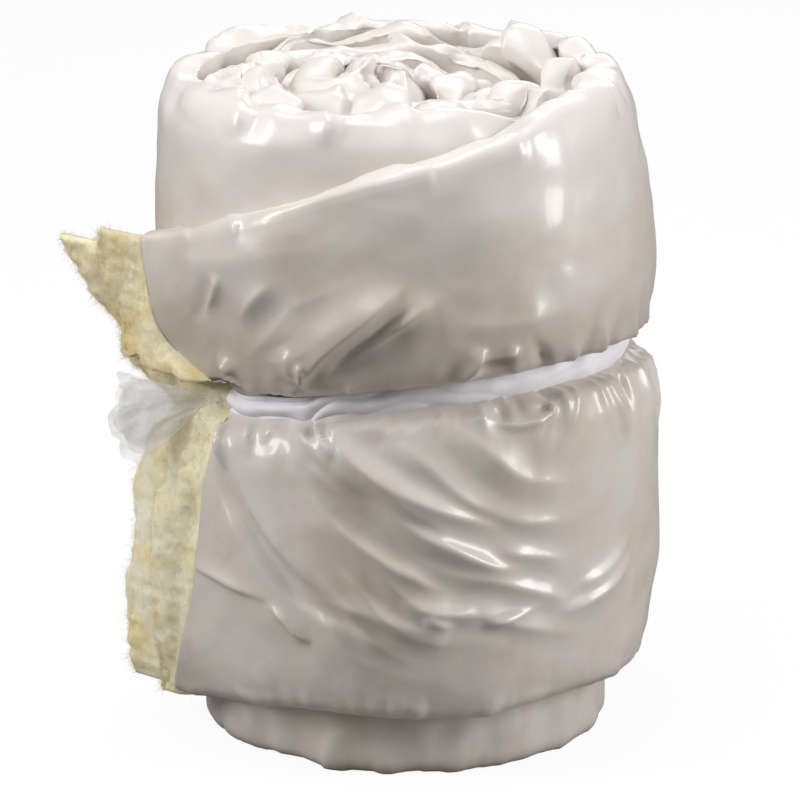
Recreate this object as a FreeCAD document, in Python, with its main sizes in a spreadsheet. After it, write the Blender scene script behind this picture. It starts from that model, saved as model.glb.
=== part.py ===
import FreeCAD, Part
import Sketcher
import math
import operator
import os

# A length of duct insulation sleeve, pressed flat, wound up and tied round its middle. It stands on one end.
# The sleeve is a tube of glass fibre blanket in a film jacket. The frame's origin is on the floor, on the
# axis that the sleeve is wound about. +Z is up, and -Y is the front, with the loose end at the left of it.

# Driving sizes in millimetres, and angles in degrees.
SIZES = {
    # the wound turns
    "flat_width": 419,  # the flattened sleeve's width, and so the height of its inner turns
    "core_radius": 128,  # the inner turns, which stand below the outer turn's lower edge
    "lower_radius": 156,  # the outer turn, below the tie
    "upper_radius": 155,  # the outer turn, just above the tie
    "top_radius": 149,  # the outer turn, at its upper edge
    "foot_round": 12,
    "rim_round": 17,
    "hem_height": 42,  # the outer turn's lower edge, above the floor
    "hem_round": 20,
    "film_wall": 1.2,
    # the tie
    "tie_height": 246,
    "waist_radius": 137,
    "strap_width": 16,
    "strap_thickness": 1.4,
    "strap_clearance": 0.2,
    "strap_play": 1.0,  # bare waist above and below the strap
    "lower_slope": 51,  # how far the outer turn leans inwards where it meets the tie from below
    "upper_slope": 62,  # and from above
    # the turns as they show on both ends
    "turn_pitch": 22.5,
    "turn_gap": 3,
    "turn_depth": 15,
    "eye_radius": 9,
    # where the outer turn leaves the wound ones, as seen from above
    "wrap_radius": 162,
    "channel_lip": 6,  # how far outside that the tie still presses the loose end
    "root_radius": 134,  # where the loose end starts, inside the wound turns
    "seat_depth": 3,  # how far its inner side is sunk into them
    "upper_leave_angle": 30,
    "upper_wrap": 120,
    "upper_seat": 50,
    "upper_reach": 190,
    "upper_thickness": 44,
    "lower_leave_angle": 42,
    "lower_wrap": 120,
    "lower_seat": 40,
    "lower_reach": 140,
    "lower_thickness": 40,
    # the loose end as seen from the front: distances to the left of the axis, and heights
    "pinch_out": 117,
    "edge_start": 33,  # to the right of the axis, where the outer turn's upper edge leaves the rim
    "edge_drop": 58,  # how far that edge has sunk where the film ends
    "upper_hem_out": 178,
    "upper_near_out": 196,
    "upper_far_out": 224,
    "lower_hem_out": 149,
    "lower_near_out": 166,
    "lower_far_out": 176,
    "hem_bow": 5,  # how far the film's cut edges bow outwards
    "blanket_bow": 16,  # and the blanket's
    "mouth_gap": 2,
    "mouth_fold": 18,  # blanket left whole round the mouth's upper and lower ends
    # the strap's tail
    "tail_angle": 60,
    "tail_turn": 5,
    "tail_out": 191,
    "tail_top": 232,
    "tail_bottom": 180,
    "tail_root": 10,  # its height where it leaves the band
    "tail_tip": 5,  # how far its outer edge bows
}


class Term:
    """A length worked out from the sheet: its number now, and the expression that binds it there."""

    def __init__(self, number, text):
        self.number, self.text = number, text

    def joined(self, other, sign, work):
        other = other if isinstance(other, Term) else Term(other, repr(other))
        return Term(work(self.number, other.number), f"({self.text} {sign} {other.text})")

    def __add__(self, other):
        return self.joined(other, "+", operator.add)

    def __sub__(self, other):
        return self.joined(other, "-", operator.sub)

    def __mul__(self, other):
        return self.joined(other, "*", operator.mul)

    def __truediv__(self, other):
        return self.joined(other, "/", operator.truediv)

    def __neg__(self):
        return Term(-self.number, f"(-1 * {self.text})")


def root(term):
    return Term(math.sqrt(term.number), f"sqrt({term.text})")


def cosine(term):
    return Term(math.cos(math.radians(term.number)), f"cos({term.text})")


def sine(term):
    return Term(math.sin(math.radians(term.number)), f"sin({term.text})")


NONE = Term(0.0, "0")


def make_sheet(doc):
    """The sheet of driving sizes, and a Term for each."""
    sheet = doc.addObject("Spreadsheet::Sheet", "sizes")
    for row, (alias, value) in enumerate(SIZES.items(), 1):
        sheet.set(f"A{row}", alias)
        sheet.set(f"B{row}", str(value))
        sheet.setAlias(f"B{row}", alias)
    doc.recompute()
    return {alias: Term(float(value), f"sizes.{alias}") for alias, value in SIZES.items()}


def tangent_radius(run, drop):
    """The radius of an arc that starts along run and has dropped by drop at its end."""
    return (run * run + drop * drop) / (drop * 2)


def shoulder_run(size, which):
    """The height over which the outer turn's bulge falls to the waist, below or above the tie."""
    slope = size[f"{which}_slope"]
    drop = size[f"{which}_radius"] - size["waist_radius"]
    return drop * (cosine(slope) + 1) / sine(slope)


def arc_between(start, end, radius):
    """The shorter arc from start to end. A radius above 0 has its centre on the left of the way there."""
    a, b = FreeCAD.Vector(*start, 0), FreeCAD.Vector(*end, 0)
    half = (b - a).Length / 2
    left = FreeCAD.Vector(a.y - b.y, b.x - a.x, 0).normalize()
    rise = abs(radius) - math.sqrt(radius**2 - half**2)
    return Part.Arc(a, (a + b) / 2 - left * math.copysign(rise, radius), b)


def bind(sketch, kind, where, term):
    """Adds a dimension to a sketch and binds it to the sheet."""
    index = sketch.addConstraint(Sketcher.Constraint(kind, *where, term.number))
    sketch.setExpression(f"Constraints[{index}]", term.text)


def draw_outline(sketch, points):
    """Draws a closed outline. A point is (x, y), or (x, y, radius) where an arc leads to it."""
    count = len(points)
    for i, point in enumerate(points):
        before = points[i - 1]
        start, end = [(p[0].number, p[1].number) for p in (before, point)]
        if len(point) == 3:
            geometry = arc_between(start, end, point[2].number)
        else:
            geometry = Part.LineSegment(FreeCAD.Vector(*start, 0), FreeCAD.Vector(*end, 0))
        sketch.addGeometry(geometry, False)
    ends = []
    for i, point in enumerate(points):
        # An arc that turns clockwise is stored the other way round, so its ends change places.
        swapped = len(point) == 3 and point[2].number < 0
        ends.append((2, 1) if swapped else (1, 2))
    for i in range(count):
        after = (i + 1) % count
        sketch.addConstraint(Sketcher.Constraint("Coincident", i, ends[i][1], after, ends[after][0]))
    for i, point in enumerate(points):
        bind(sketch, "DistanceX", (-1, 1, i, ends[i][1]), point[0])
        bind(sketch, "DistanceY", (-1, 1, i, ends[i][1]), point[1])
        if len(point) == 3:
            size = point[2] if point[2].number > 0 else -point[2]
            bind(sketch, "Radius", (i,), size)


def draw_spiral(sketch, outer, size):
    """Draws the gap between turns as a spiral of half circles, from radius outer at the front to the eye."""
    pitch, gap = size["turn_pitch"], size["turn_gap"]
    half_turns = int((outer.number - size["eye_radius"].number) / (pitch.number / 2))
    chains = []
    for side in (1, -1):
        first = outer + gap / 2 * side
        chain = []
        for k in range(half_turns):
            to_right = k % 2 == 0
            middle = pitch / 4 * (-1 if to_right else 1)
            radius = first.number - (2 * k + 1) * pitch.number / 4
            centre = FreeCAD.Vector(0, middle.number, 0)
            circle = Part.Circle(centre, FreeCAD.Vector(0, 0, 1), radius)
            start = -math.pi / 2 if to_right else math.pi / 2
            arc = sketch.addGeometry(Part.ArcOfCircle(circle, start, start + math.pi), False)
            sketch.addConstraint(Sketcher.Constraint("PointOnObject", arc, 3, -2))
            bind(sketch, "DistanceY", (-1, 1, arc, 3), middle)
            sketch.addConstraint(Sketcher.Constraint("PointOnObject", arc, 2, -2))
            if chain:
                sketch.addConstraint(Sketcher.Constraint("Coincident", chain[-1], 2, arc, 1))
            else:
                sketch.addConstraint(Sketcher.Constraint("PointOnObject", arc, 1, -2))
                bind(sketch, "Radius", (arc,), first - pitch / 4)
            chain.append(arc)
        chains.append(chain)
    for place, end in ((0, 1), (-1, 2)):
        a, b = [chain[place] for chain in chains]
        cap = sketch.addGeometry(
            Part.LineSegment(sketch.getPoint(a, end), sketch.getPoint(b, end)), False
        )
        sketch.addConstraint(Sketcher.Constraint("Coincident", a, end, cap, 1))
        sketch.addConstraint(Sketcher.Constraint("Coincident", b, end, cap, 2))


def origin_plane(body, role):
    return next(f for f in body.Origin.OriginFeatures if f.Role == role)


def body_sketch(body, name, plane):
    sketch = body.newObject("Sketcher::SketchObject", name)
    sketch.AttachmentSupport = [(origin_plane(body, plane), "")]
    sketch.MapMode = "FlatFace"
    return sketch


def wound_profile(size, inset, foot, head):
    """The wound turns' half section, inset from their surface, between the heights foot and head."""
    waist = size["waist_radius"] - inset
    lower, upper = size["lower_radius"] - inset, size["upper_radius"] - inset
    core, top = size["core_radius"] - inset, size["top_radius"] - inset
    hem, hem_round = size["hem_height"] + inset, size["hem_round"]
    flat = size["strap_width"] / 2 + size["strap_play"]
    below, above = size["tie_height"] - flat, size["tie_height"] + flat
    foot_round, rim_round = size["foot_round"], size["rim_round"]
    lower_shoulder, upper_shoulder = shoulder_run(size, "lower"), shoulder_run(size, "upper")
    return [
        (NONE, head),
        (NONE, foot),
        (core - foot_round, foot),
        (core, foot + foot_round, foot_round),
        (core, hem),
        (lower - hem_round, hem),
        (lower, hem + hem_round, hem_round),
        (lower, below - lower_shoulder),
        (waist, below, tangent_radius(lower_shoulder, lower - waist)),
        (waist, above),
        (upper, above + upper_shoulder, tangent_radius(upper_shoulder, upper - waist)),
        (top, head - rim_round),
        (top - rim_round, head, rim_round),
    ]


def make_wound(doc, size, name, inset, foot, head):
    """A turned body: the wound turns, inset from their surface."""
    body = doc.addObject("PartDesign::Body", name)
    section = body_sketch(body, f"{name}_section", "XZ_Plane")
    draw_outline(section, wound_profile(size, inset, foot, head))
    turned = body.newObject("PartDesign::Revolution", f"{name}_turned")
    turned.Profile = section
    turned.ReferenceAxis = (section, ["V_Axis"])
    turned.Angle = 360
    doc.recompute()
    return body


def cut_turns(doc, size, body):
    """Cuts the spiral gap between the turns into the body's two ends."""
    for end, outer, height in (
        ("head", size["top_radius"], size["flat_width"]),
        ("foot", size["core_radius"], NONE),
    ):
        sketch = body_sketch(body, f"turns_at_{end}", "XY_Plane")
        sketch.AttachmentOffset = FreeCAD.Placement(FreeCAD.Vector(0, 0, height.number), FreeCAD.Rotation())
        sketch.setExpression("AttachmentOffset.Base.z", height.text)
        draw_spiral(sketch, outer - size["turn_pitch"] / 2, size)
        before = body.Shape.Volume
        pocket = body.newObject("PartDesign::Pocket", f"turn_gap_at_{end}")
        pocket.Profile = sketch
        pocket.setExpression("Length", size["turn_depth"].text)
        pocket.Reversed = end == "foot"
        doc.recompute()
        if body.Shape.Volume >= before:
            raise RuntimeError(f"the gap between the turns cuts nothing at the {end}")


def extrude(doc, name, sketch, length):
    """A sketch drawn out along its normal, by length."""
    solid = doc.addObject("Part::Extrusion", name)
    solid.Base = sketch
    solid.DirMode = "Normal"
    solid.Solid = True
    solid.setExpression("LengthFwd", length.text)
    return solid


def plan_sketch(doc, name, angle, points):
    """A sketch seen from above, turned so that the loose end runs along its -X. It lies on the floor."""
    sketch = doc.addObject("Sketcher::SketchObject", name)
    sketch.Placement = FreeCAD.Placement(
        FreeCAD.Vector(), FreeCAD.Rotation(FreeCAD.Vector(0, 0, 1), -angle.number)
    )
    sketch.setExpression("Placement.Rotation.Angle", f"{(-angle).text} * 1 deg")
    draw_outline(sketch, points)
    return sketch


def front_sketch(doc, name, points):
    """A sketch seen from the front, in the plane of the axis: its X is +X, and its Y is +Z."""
    sketch = doc.addObject("Sketcher::SketchObject", name)
    sketch.Placement = FreeCAD.Placement(
        FreeCAD.Vector(), FreeCAD.Rotation(FreeCAD.Vector(1, 0, 0), 90)
    )
    draw_outline(sketch, points)
    return sketch


def common(doc, name, first, second):
    both = doc.addObject("Part::Common", name)
    both.Base, both.Tool = first, second
    return both


def cut(doc, name, base, tool):
    left = doc.addObject("Part::Cut", name)
    left.Base, left.Tool = base, tool
    return left


def fuse(doc, name, shapes):
    whole = doc.addObject("Part::MultiFuse", name)
    whole.Shapes = shapes
    whole.Refine = True
    return whole


def seat_y(size, which, inset):
    """How far out the loose end's inner side meets the wound turns."""
    wound, seat = size[f"{which}_radius"] - inset - size["seat_depth"], size[f"{which}_seat"]
    return root(wound * wound - seat * seat)


def end_plan(size, which, inset):
    """The loose end from above, as wide as its whole thickness."""
    near, wrap = size["wrap_radius"] - inset, size[f"{which}_wrap"]
    far = size["wrap_radius"] - size[f"{which}_thickness"] + inset
    start = root(size["root_radius"] * size["root_radius"] - wrap * wrap)
    reach, seat, seated = size[f"{which}_reach"], size[f"{which}_seat"], seat_y(size, which, inset)
    return [
        (wrap, -start),
        (NONE, -near, -tangent_radius(wrap, near - start)),
        (-reach, -near),
        (-reach, -far),
        (-seat, -seated),
        (-seat, -size["root_radius"] / 2),
    ]


def layer_plan(size, which, inset):
    """The far layer of the loose end from above: the inner half of its thickness."""
    near = size["wrap_radius"] - size[f"{which}_thickness"] / 2
    far = size["wrap_radius"] - size[f"{which}_thickness"] + inset
    reach, seat, seated = size[f"{which}_reach"], size[f"{which}_seat"], seat_y(size, which, inset)
    return [
        (-seat, -(seated + size["wrap_radius"]) / 2),
        (-reach, -near),
        (-reach, -far),
        (-seat, -seated),
    ]


def edge_height(size, out):
    """The height of the outer turn's sloping upper edge, at a distance out to the left of the axis."""
    start = size["edge_start"]
    rim = size["flat_width"] - size["rim_round"]
    return rim - size["edge_drop"] * (start + out) / (start + size["upper_hem_out"])


def end_front(size, which, inset, out, bow):
    """The loose end from the front, above or below the tie. Its edge runs from the pinch to out."""
    flat = size["strap_width"] / 2 + size["strap_play"] + inset
    pinch, start, right = size["pinch_out"], size["edge_start"], size["wrap_radius"]
    if which == "upper":
        bottom, top = size["tie_height"] + flat, edge_height(size, out) - inset
        rim = edge_height(size, -start) - inset
        run = root((out - pinch) * (out - pinch) + (top - bottom) * (top - bottom))
        round_edge = tangent_radius(run / 2, bow)
        return [(-pinch, bottom, round_edge), (right, bottom), (right, rim), (start, rim), (-out, top)]
    bottom, top = size["hem_height"] + inset, size["tie_height"] - flat
    run = root((out - pinch) * (out - pinch) + (top - bottom) * (top - bottom))
    return [(-out, bottom, tangent_radius(run / 2, bow)), (right, bottom), (right, top), (-pinch, top)]


def make_channel(doc, size, name, inset):
    """The ring cut out of the loose end by the tie, with a rounded shoulder above and below it."""
    body = doc.addObject("PartDesign::Body", name)
    section = body_sketch(body, f"{name}_section", "XZ_Plane")
    flat = size["strap_width"] / 2 + size["strap_play"] + inset
    below, above = size["tie_height"] - flat, size["tie_height"] + flat
    waist, wrap = size["waist_radius"] - inset, size["wrap_radius"] - inset
    far = wrap + size["channel_lip"]
    lower, upper = shoulder_run(size, "lower"), shoulder_run(size, "upper")
    draw_outline(
        section,
        [
            (waist, below, -tangent_radius(lower, wrap - waist)),
            (waist, above),
            (wrap, above + upper, -tangent_radius(upper, wrap - waist)),
            (far, above),
            (far, below),
            (wrap, below - lower),
        ],
    )
    turned = body.newObject("PartDesign::Revolution", f"{name}_turned")
    turned.Profile = section
    turned.ReferenceAxis = (section, ["V_Axis"])
    turned.Angle = 360
    doc.recompute()
    return body


def make_end(doc, size, which, name, inset, out, bow, plan_of=end_plan):
    """The loose end's part above or below the tie, out to a distance to the left of the axis."""
    plan = plan_sketch(doc, f"{name}_plan", size[f"{which}_leave_angle"], plan_of(size, which, inset))
    front = front_sketch(doc, f"{name}_front", end_front(size, which, inset, out, bow))
    tall = extrude(doc, f"{name}_tall", plan, size["flat_width"])
    deep = extrude(doc, f"{name}_deep", front, size["wrap_radius"] * 2)
    channel = make_channel(doc, size, f"{name}_channel", inset)
    return cut(doc, name, common(doc, f"{name}_uncut", tall, deep), channel)


def make_jacket_outside(doc, size):
    """The film jacket as if it were filled: the wound turns and the loose end up to its hem."""
    wound = make_wound(doc, size, "jacket_wound", NONE, NONE, size["flat_width"])
    cut_turns(doc, size, wound)
    ends = []
    for which in ("upper", "lower"):
        out = size[f"{which}_hem_out"]
        ends.append(make_end(doc, size, which, f"{which}_jacket", NONE, out, size["hem_bow"]))
    return fuse(doc, "jacket_outside", [wound] + ends)


def make_jacket(doc, size, inset):
    """The film jacket: its outside, hollowed by a plain core and by the whole thickness of the loose end."""
    wall = size["turn_depth"] + inset
    inside = [make_wound(doc, size, "jacket_hollow", inset, wall, size["flat_width"] - wall)]
    for which in ("upper", "lower"):
        out = size[f"{which}_far_out"]
        inside.append(make_end(doc, size, which, f"{which}_hollow", inset, out, size["blanket_bow"]))
    return cut(doc, "film_jacket", make_jacket_outside(doc, size), fuse(doc, "jacket_inside", inside))


def make_mouth(doc, size, which, low, high):
    """The slit between the blanket's two layers, at the middle of the loose end's thickness."""
    layer = layer_plan(size, which, size["film_wall"])
    (seat_x, seat_mid), (reach_x, reach_mid) = layer[:2]
    half = size["mouth_gap"] / 2
    plan = plan_sketch(
        doc,
        f"{which}_mouth_plan",
        size[f"{which}_leave_angle"],
        [
            (seat_x, seat_mid - half),
            (reach_x, reach_mid - half),
            (reach_x, reach_mid + half),
            (seat_x, seat_mid + half),
        ],
    )
    plan.Placement.Base.z = low.number
    plan.setExpression("Placement.Base.z", low.text)
    return extrude(doc, f"{which}_mouth", plan, high - low)


def make_blanket(doc, size, inset):
    """The glass fibre blanket: a plain turned core, and both layers of the loose end."""
    wall, bow = size["turn_depth"] + inset, size["blanket_bow"]
    shapes = [make_wound(doc, size, "blanket_core", inset, wall, size["flat_width"] - wall)]
    for which in ("upper", "lower"):
        near, far = size[f"{which}_near_out"], size[f"{which}_far_out"]
        shapes.append(make_end(doc, size, which, f"{which}_layers", inset, near, bow))
        shapes.append(make_end(doc, size, which, f"{which}_far_layer", inset, far, bow, layer_plan))
    whole = fuse(doc, "blanket_whole", shapes)
    fold, waist = size["mouth_fold"], size["tie_height"]
    mouths = [
        make_mouth(doc, size, "upper", waist, edge_height(size, size["upper_far_out"]) - fold),
        make_mouth(doc, size, "lower", size["hem_height"] + fold, waist),
    ]
    return cut(doc, "fiberglass_blanket", whole, fuse(doc, "mouths", mouths))


def make_tail(doc, size):
    """The strap's tail: a thin upright plate from the band, cut to a fan as seen from the front."""
    thick = size["strap_thickness"]
    middle = size["waist_radius"] + size["strap_clearance"] + thick / 2
    root_x, root_y = -middle * sine(size["tail_angle"]), -middle * cosine(size["tail_angle"])
    plan = doc.addObject("Sketcher::SketchObject", "tail_plan")
    plan.Placement = FreeCAD.Placement(
        FreeCAD.Vector(root_x.number, root_y.number, 0),
        FreeCAD.Rotation(FreeCAD.Vector(0, 0, 1), -size["tail_turn"].number),
    )
    plan.setExpression("Placement.Base.x", root_x.text)
    plan.setExpression("Placement.Base.y", root_y.text)
    plan.setExpression("Placement.Rotation.Angle", f"{(-size['tail_turn']).text} * 1 deg")
    length = (size["tail_out"] + root_x) / cosine(size["tail_turn"])
    draw_outline(plan, [(-length, thick / 2), (-length, -thick / 2), (NONE, -thick / 2), (NONE, thick / 2)])
    top, bottom, tip = size["tail_top"], size["tail_bottom"], size["tail_tip"]
    corner = -size["tail_out"] + tip
    start = size["tie_height"] - size["strap_width"] / 2
    front = front_sketch(
        doc,
        "tail_front",
        [
            (root_x, start + size["tail_root"]),
            (corner, top),
            (corner, bottom, tangent_radius((top - bottom) / 2, tip)),
            (root_x, start),
        ],
    )
    tall = extrude(doc, "tail_tall", plan, size["flat_width"])
    return common(doc, "strap_tail", tall, extrude(doc, "tail_deep", front, size["wrap_radius"] * 2))


def make_strap(doc, size):
    """The strap: a band round the waist, and its tail at the pinch."""
    inner = size["waist_radius"] + size["strap_clearance"]
    rings = []
    for name, radius in (("strap_outside", inner + size["strap_thickness"]), ("strap_inside", inner)):
        ring = doc.addObject("Part::Cylinder", name)
        ring.setExpression("Radius", radius.text)
        ring.setExpression("Height", size["strap_width"].text)
        ring.setExpression("Placement.Base.z", (size["tie_height"] - size["strap_width"] / 2).text)
        rings.append(ring)
    return fuse(doc, "tie_strap", [cut(doc, "strap_band", *rings), make_tail(doc, size)])


def check(doc, pieces):
    """Stops if an object of the document failed, or a piece isn't a valid solid."""
    failed = [o.Name for o in doc.Objects if {"Invalid", "Error"} & set(o.State)]
    if failed:
        raise RuntimeError(f"these objects failed: {failed}")
    for piece in pieces:
        shape = piece.Shape
        if shape.isNull() or not shape.isValid() or not shape.Solids:
            raise RuntimeError(f"{piece.Label} isn't a valid solid")
        print(f"{piece.Label}: {len(shape.Solids)} solid, {shape.Volume / 1000:.1f} cm3, {shape.BoundBox}")


def main():
    doc = FreeCAD.newDocument("duct_insulation_sleeve")
    size = make_sheet(doc)
    inset = size["film_wall"]
    pieces = [make_jacket(doc, size, inset), make_blanket(doc, size, inset), make_strap(doc, size)]
    doc.recompute()
    check(doc, pieces)
    os.makedirs("parts", exist_ok=True)
    for piece in pieces:
        piece.Shape.exportStep(f"parts/{piece.Label}.step")


main()
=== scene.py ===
import math

import bpy
import numpy as np
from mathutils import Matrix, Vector


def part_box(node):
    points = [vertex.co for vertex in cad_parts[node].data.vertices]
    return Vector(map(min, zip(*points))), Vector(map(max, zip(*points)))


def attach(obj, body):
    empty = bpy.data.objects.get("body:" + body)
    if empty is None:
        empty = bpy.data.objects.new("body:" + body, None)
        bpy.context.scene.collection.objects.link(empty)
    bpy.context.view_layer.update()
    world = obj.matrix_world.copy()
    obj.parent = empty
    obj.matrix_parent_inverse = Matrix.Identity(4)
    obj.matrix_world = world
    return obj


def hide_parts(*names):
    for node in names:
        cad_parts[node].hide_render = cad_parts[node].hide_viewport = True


# The looks of the wound and tied duct insulation sleeve. The work is in millimetres, in the CAD part's
# frame: the roll's axis is Z, -Y is the front, and the outer turn's loose end is at the left.
# The jacket is one flattened tube. It starts at its cut end, at the left of the front, and runs round
# the roll by way of the right and the back. Then it goes on inwards as the turns that show on the ends.

MM = 0.001
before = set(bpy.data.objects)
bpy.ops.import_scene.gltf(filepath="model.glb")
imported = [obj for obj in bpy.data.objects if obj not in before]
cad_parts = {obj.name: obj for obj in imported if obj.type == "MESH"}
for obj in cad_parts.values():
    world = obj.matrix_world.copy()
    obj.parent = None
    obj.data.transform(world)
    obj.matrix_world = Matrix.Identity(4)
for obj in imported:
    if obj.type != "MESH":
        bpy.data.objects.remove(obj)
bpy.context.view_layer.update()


def highest_corner(node):
    """A CAD node's highest corner in millimetres."""
    return np.array(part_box(node)[1]) / MM


JACKET_HIGH = highest_corner("film_jacket")
STRAP_HIGH = highest_corner("tie_strap")

# Lengths are in millimetres and angles in radians.
HEIGHT = JACKET_HIGH[2]  # of the turns, floor to rim
BULGE = JACKET_HIGH[0]  # radius of the outer turn
WAIST = STRAP_HIGH[0] - 2  # radius of the film under the strap
TIE = STRAP_HIGH[2] - 10  # the strap's middle height, on the roll's axis
PINCH = TIE - 13  # the strap's height where it pinches the loose end
ABOVE_PINCH = 97  # from there to the top of the loose end's wool
BELOW_PINCH = 192  # and to its foot
UPPER_LEAN = -9  # how far the roll's top leans to the left
PITCH = 22.3  # from turn to turn
FOLD = 10  # radius of the jacket's folded edges
SQUARENESS = 0.6  # of those edges: 1 is round, and less is squarer
ARC = 155  # radius by which angles become distances along the sheet
LAST_TURN = math.radians(378)  # where the outer turn's mesh gives way to the inner turns'
OVERLAP = 0.02  # of those two meshes, as an angle
EYE = 2 * math.pi * 6.35  # where the innermost turn ends at the top
FOOT = 130  # radius of the inner turns, where they stand on the floor
FOOT_START = math.radians(-100)  # where the outer turn has come in to be the outermost of these turns
FOOT_EYE = 2 * math.pi * 5.2  # where the innermost of these turns ends
TUCK = 14  # how far the foot's outer end is hidden behind the outer turn
RIM_STEP = 2.6  # from column to column of the inner turns' mesh
FOOT_STEP = 3.0  # and of the foot's
CRUSH = 2.3  # how deep the film's folds are, over their listed heights
DEEPEST = 13  # the most that a fold stands off the film's smooth form
SWELL = 22  # how much thicker the loose end is, halfway from the tie to its ends
UPPER_DROOP = 16  # how far the loose end's upper half sags towards the roll
LOWER_DROOP = 5  # and its lower half
LAYER_GAP = 3.5  # from the loose end's middle to each layer of wool


# ---- curves, noise and folds ----


def curve(x, xs, ys):
    """A smooth curve through the points xs, ys, level past both ends."""
    xs = np.array(xs, float)
    ys = np.array(ys, float)
    slopes = np.gradient(ys, xs)
    x = np.clip(x, xs[0], xs[-1])
    i = np.clip(np.searchsorted(xs, x) - 1, 0, len(xs) - 2)
    width = xs[i + 1] - xs[i]
    t = (x - xs[i]) / width
    return (
        ys[i] * (2 * t**3 - 3 * t**2 + 1)
        + ys[i + 1] * (3 * t**2 - 2 * t**3)
        + slopes[i] * width * (t**3 - 2 * t**2 + t)
        + slopes[i + 1] * width * (t**3 - t**2)
    )


def ease(x, low=0.0, high=1.0):
    """0 below low, 1 above high, and smooth between them."""
    t = np.clip((x - low) / (high - low), 0, 1)
    return t * t * (3 - 2 * t)


def bell(x, width):
    """1 at zero, and down to nothing over about twice the width on both sides."""
    return np.exp(-((x / width) ** 2))


def lattice(cell, seed):
    """A repeatable value from -1 to 1 for each cell of a 3-D lattice."""
    x, y, z = cell
    n = x * 73856093 ^ y * 19349663 ^ z * 83492791 ^ seed * 2654435761
    n = (n ^ (n >> 13)) * 1274126177
    n = n ^ (n >> 16)
    return (n & 0xFFFF) / 32767.5 - 1


def noise(points, size, seed):
    """Smooth noise from -1 to 1, with features of that size."""
    p = np.moveaxis(np.asarray(points, float) / size, -1, 0)
    cell = np.floor(p).astype(np.int64)
    t = p - cell
    t = t * t * (3 - 2 * t)
    total = 0
    for corner in np.ndindex(2, 2, 2):
        weight = 1
        for axis, side in enumerate(corner):
            weight = weight * (t[axis] if side else 1 - t[axis])
        total = total + weight * lattice([cell[k] + corner[k] for k in range(3)], seed)
    return total


def cloudy(points, size, seed, octaves=3):
    """Noise with finer noise on it."""
    return sum(noise(points, size / 2**k, seed + k) / 2**k for k in range(octaves))


def on_sheet(along, across):
    """Places on the unrolled sheet, as points to take noise at."""
    along, across = np.broadcast_arrays(along, across)
    return np.stack([along, across, 0 * across], -1)


def crumple(across, along, size, seed, waves=8, patchy=True):
    """Straight creases in many directions, about 0 to 1, as crushed film has: in patches, or everywhere."""
    rng = np.random.default_rng(seed)
    flat = on_sheet(across, along)
    total = 0
    for k in range(waves):
        angle = rng.uniform(0, math.pi)
        length = size * rng.uniform(0.7, 1.8)
        bend = noise(flat, size * 2.2, seed + 31 * k) * 0.35
        phase = (across * math.cos(angle) + along * math.sin(angle)) / length + bend + rng.uniform()
        crest = 1 - np.abs(2 * (phase % 1) - 1)
        patch = ease(noise(flat, size * 1.5, seed + 77 * k + 5), 0.05, 0.5) if patchy else 1
        total = total + crest * patch
    return total / (2 if patchy else waves)


def fold_offset(across, along, points, height, left, right, fade_in=0.35, fade_out=0.5):
    """How far one fold lifts the sheet. Its crest follows points, and left and right are its widths."""
    points = np.array(points, float)
    steps = np.linspace(0, len(points) - 1, 8 * len(points))
    crest = np.stack([curve(steps, range(len(points)), points[:, k]) for k in (0, 1)], -1)
    reach = 4 * max(left, right)
    low = crest.min(0) - reach
    high = crest.max(0) + reach
    near = (across > low[0]) & (across < high[0]) & (along > low[1]) & (along < high[1])
    offset = np.zeros_like(across)
    if not near.any():
        return offset
    p = np.stack([across[near], along[near]], -1)[:, None]
    start = crest[:-1]
    way = np.diff(crest, axis=0)
    share = np.clip(((p - start) * way).sum(-1) / (way**2).sum(-1), 0, 1)
    away = p - start - share[..., None] * way
    distance = np.hypot(away[..., 0], away[..., 1])
    nearest = distance.argmin(1)
    rows = np.arange(len(nearest))
    side = way[nearest, 0] * away[rows, nearest, 1] - way[nearest, 1] * away[rows, nearest, 0]
    place = (nearest + share[rows, nearest]) / len(way)
    t = distance[rows, nearest] / np.where(side > 0, left, right)
    ridge = np.exp(-np.sqrt(t * t + 0.04) * 1.1 + 0.22)  # sharp at its crest
    valley = np.exp(-0.7 * t * t)
    taper = ease(place, 0, fade_in) * ease(1 - place, 0, fade_out)
    offset[near] = height * (ridge if height > 0 else valley) * taper
    return offset


# ---- the flattened tube ----


def tie_height(phi):
    """The strap's middle height, at an angle from the front. It is low where it pinches the loose end."""
    degrees = (np.degrees(phi) + 180) % 360 - 180
    return TIE + curve(degrees, [-180, -90, -50, 0, 43, 90, 135, 180], [-3, -14, -14, 3, 10, 6, 0, -3])


def outer_radius(phi, z):
    """The outer turn's radius where it starts, by height. The waist follows the strap's tilt."""
    low = z < TIE
    shifted = z - (tie_height(phi) - TIE) * bell(z - TIE, 70)
    lower = curve(
        shifted,
        [30, 40, 60, 90, 150, 190, 208, 220, 230, 237, TIE],
        [BULGE - 12, BULGE - 9, BULGE - 3, BULGE, BULGE + 1, BULGE + 1, BULGE, 153, 147, 139, WAIST],
    )
    upper = curve(
        shifted,
        [TIE, TIE + 7, TIE + 9, TIE + 13, TIE + 19, TIE + 28, TIE + 44, 330, 370, 405, 420],
        [WAIST, 138, 143, 148, 151.5, 154, 156, 155.5, 152, 147, 140],
    )
    return np.where(low, lower, upper)


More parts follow.
